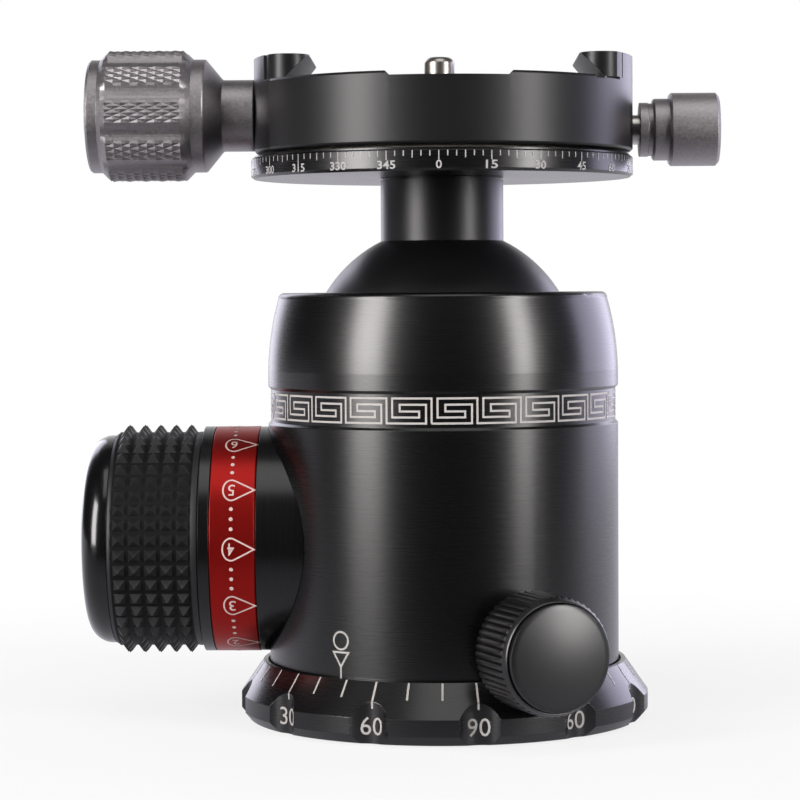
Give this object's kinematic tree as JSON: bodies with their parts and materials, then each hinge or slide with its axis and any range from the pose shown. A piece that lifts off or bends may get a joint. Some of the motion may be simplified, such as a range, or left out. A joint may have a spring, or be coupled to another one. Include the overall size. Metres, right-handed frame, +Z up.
{
  "type": "tripod ball head",
  "caption": "Ball head with a panning base, a friction-dial main knob, a notched housing for vertical shots and a panning dovetail screw clamp on top.",
  "frame": {"origin": "centre of the base's bottom face, on the pan axis, where the tripod thread opens", "axes": "+Z up along the pan axis and stem, -X towards the main knob and the clamp knob, -Y towards the front, the drop notch is at +Y"},
  "size_m": [0.0827, 0.0619, 0.0875],
  "materials": {
    "anodised_black": "satin black anodised, fine turned lines",
    "blasted_black": "matte black anodised over a bead-blasted surface",
    "anodised_red": "red anodised, satin, with pale marks",
    "gunmetal": "grey anodised over a bead-blasted surface",
    "gloss_black": "gloss black",
    "black_rubber": "matte moulded rubber",
    "steel": "machined stainless steel",
    "polished_steel": "polished stainless steel",
    "bronze": "machined bronze",
    "slide_plastic": "natural low-friction plastic"
  },
  "bodies": {
    "base": {"base_dial": "anodised_black", "tripod_thread_bush": "steel", "base_thrust_washer": "slide_plastic", "pan_retainer": "steel", "pan_retainer_screws": "steel"},
    "housing": {"housing": "anodised_black", "housing_floor": "anodised_black", "wedge_track": "steel", "ball_seat_ring": "slide_plastic", "knob_neck": "anodised_black", "spindle_bush": "bronze", "retainer_thrust_washer": "slide_plastic"},
    "main_knob": {"main_knob_hub": "anodised_black", "friction_dial_ring": "anodised_red", "rubber_grip": "black_rubber", "knob_end_cap": "gloss_black", "main_spindle": "steel", "spindle_clip": "steel", "spindle_spring_washers": "steel", "hub_screw": "steel", "hub_screw_washer": "steel"},
    "wedge": {"locking_wedge": "steel"},
    "cup": {"ball_cup": "anodised_black", "cup_pad": "slide_plastic"},
    "pan_shoe": {"pan_lock_shoe": "bronze"},
    "pan_knob": {"pan_lock_screw": "steel", "pan_lock_knob": "blasted_black", "pan_lock_cap": "blasted_black"},
    "ball": {"ball_and_stem": "blasted_black", "stem_dowel": "steel", "scale_disc": "anodised_black", "stem_bolt": "steel", "clamp_retainer": "anodised_black", "disc_slide_ring": "slide_plastic"},
    "clamp": {"clamp_body": "anodised_black", "pin_plug": "steel", "pin_spring": "steel", "retainer_slide_ring": "slide_plastic"},
    "jaw": {"moving_jaw": "anodised_black", "jaw_guide_pins": "steel"},
    "clamp_screw": {"clamp_knob": "gunmetal", "clamp_bolt": "steel", "clamp_bolt_clip": "steel"},
    "swivel_shoe": {"swivel_lock_shoe": "bronze"},
    "swivel_knob": {"swivel_lock_stud": "steel", "swivel_lock_washer": "gunmetal", "swivel_lock_knob": "gunmetal"},
    "pin": {"safety_pin": "polished_steel"}
  },
  "joints": [
    {"name": "base_pan", "type": "hinge", "parent": "base", "child": "housing", "pos_m": [0, 0, 0.007], "axis": [0, 0, 1], "continuous": true},
    {"name": "ball_tilt", "type": "hinge", "parent": "housing", "child": "ball", "pos_m": [0, 0, 0.0463], "axis": [-1, 0, 0], "range_deg": [-30, 90]},
    {"name": "clamp_pan", "type": "hinge", "parent": "ball", "child": "clamp", "pos_m": [0, 0, 0.076], "axis": [0, 0, 1], "continuous": true},
    {"name": "jaw_slide", "type": "slide", "parent": "clamp", "child": "jaw", "axis": [-1, 0, 0], "range_m": [0, 0.0048]},
    {"name": "clamp_knob_turn", "type": "hinge", "parent": "jaw", "child": "clamp_screw", "pos_m": [-0.036, 0, 0.079], "axis": [-1, 0, 0], "range_deg": [0, 2160]},
    {"name": "swivel_shoe_slide", "type": "slide", "parent": "clamp", "child": "swivel_shoe", "axis": [1, 0, 0], "range_m": [0, 0.00105]},
    {"name": "swivel_lock_turn", "type": "hinge", "parent": "swivel_shoe", "child": "swivel_knob", "pos_m": [0.03, 0, 0.0768], "axis": [1, 0, 0], "range_deg": [0, 540]},
    {"name": "safety_pin_press", "type": "slide", "parent": "clamp", "child": "pin", "axis": [0, 0, -1], "range_m": [0, 0.0022], "stiffness_N_per_m": 600, "springref_m": -0.001, "deforming": ["pin_spring"]},
    {"name": "main_knob_turn", "type": "hinge", "parent": "housing", "child": "main_knob", "pos_m": [-0.036, 0, 0.02335], "axis": [-1, 0, 0], "range_deg": [0, 270]},
    {"name": "wedge_slide", "type": "slide", "parent": "housing", "child": "wedge", "axis": [-1, 0, 0], "range_m": [0, 0.0009]},
    {"name": "cup_lift", "type": "slide", "parent": "housing", "child": "cup", "axis": [0, 0, 1], "range_m": [-0.00051962, 0]},
    {"name": "pan_shoe_slide", "type": "slide", "parent": "housing", "child": "pan_shoe", "axis": [0.3955, -0.9184, 0], "range_m": [0, 0.0012]},
    {"name": "pan_lock_turn", "type": "hinge", "parent": "pan_shoe", "child": "pan_knob", "pos_m": [0.01187, -0.02755, 0.01165], "axis": [0.3955, -0.9184, 0], "range_deg": [0, 540]}
  ],
  "couplings": [
    {"joint": "clamp_knob_turn", "follows": "jaw_slide", "rad_per_m": 7854},
    {"joint": "swivel_lock_turn", "follows": "swivel_shoe_slide", "rad_per_m": 8976},
    {"joint": "wedge_slide", "follows": "main_knob_turn", "m_per_rad": 0.00019099},
    {"joint": "cup_lift", "follows": "main_knob_turn", "m_per_rad": -0.00011027},
    {"joint": "pan_lock_turn", "follows": "pan_shoe_slide", "rad_per_m": 7854}
  ]
}
